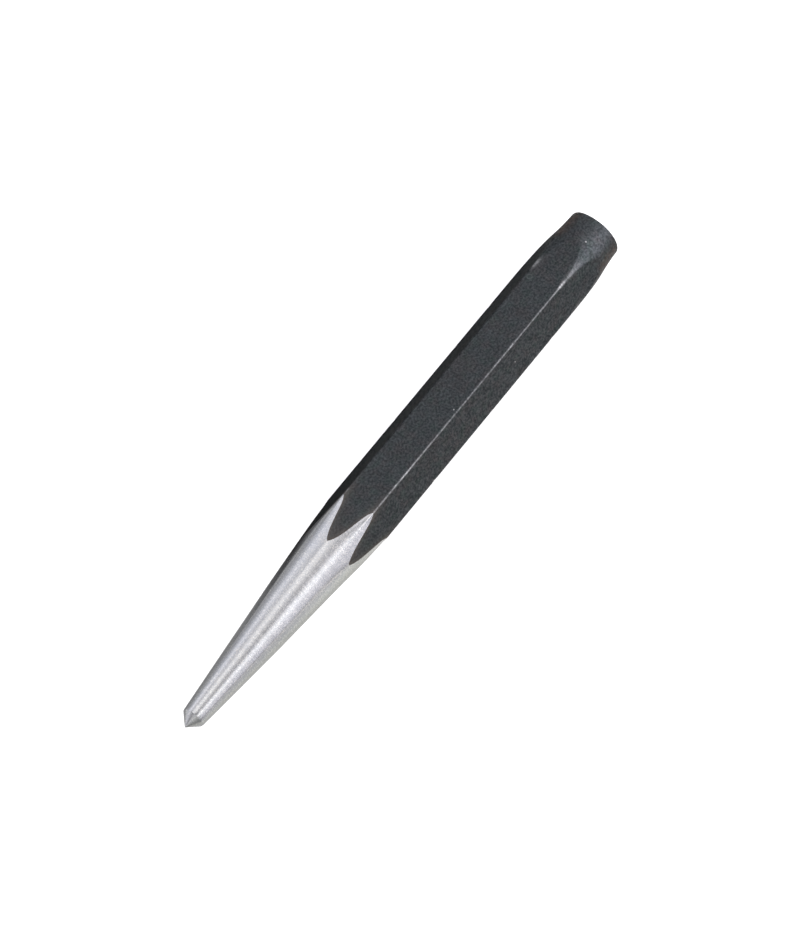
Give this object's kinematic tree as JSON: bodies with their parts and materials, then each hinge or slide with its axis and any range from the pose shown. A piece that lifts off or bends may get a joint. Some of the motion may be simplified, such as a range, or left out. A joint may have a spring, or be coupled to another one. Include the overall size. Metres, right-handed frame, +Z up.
{
  "type": "center punch",
  "caption": "Solid hexagonal steel center punch, black shank, bright ground taper to a conical point, head drawn in round at the struck end.",
  "frame": {"origin": "bottom centre of the bounding box: on the flat that the punch lies on, below the middle of its length", "axes": "+X along the punch from its point to its struck face, +Z up, square to the flat that it lies on"},
  "size_m": [0.11, 0.0114, 0.01],
  "materials": {
    "tool_steel": "satin"
  },
  "bodies": {
    "root": {"punch_body": "tool_steel"}
  },
  "joints": []
}
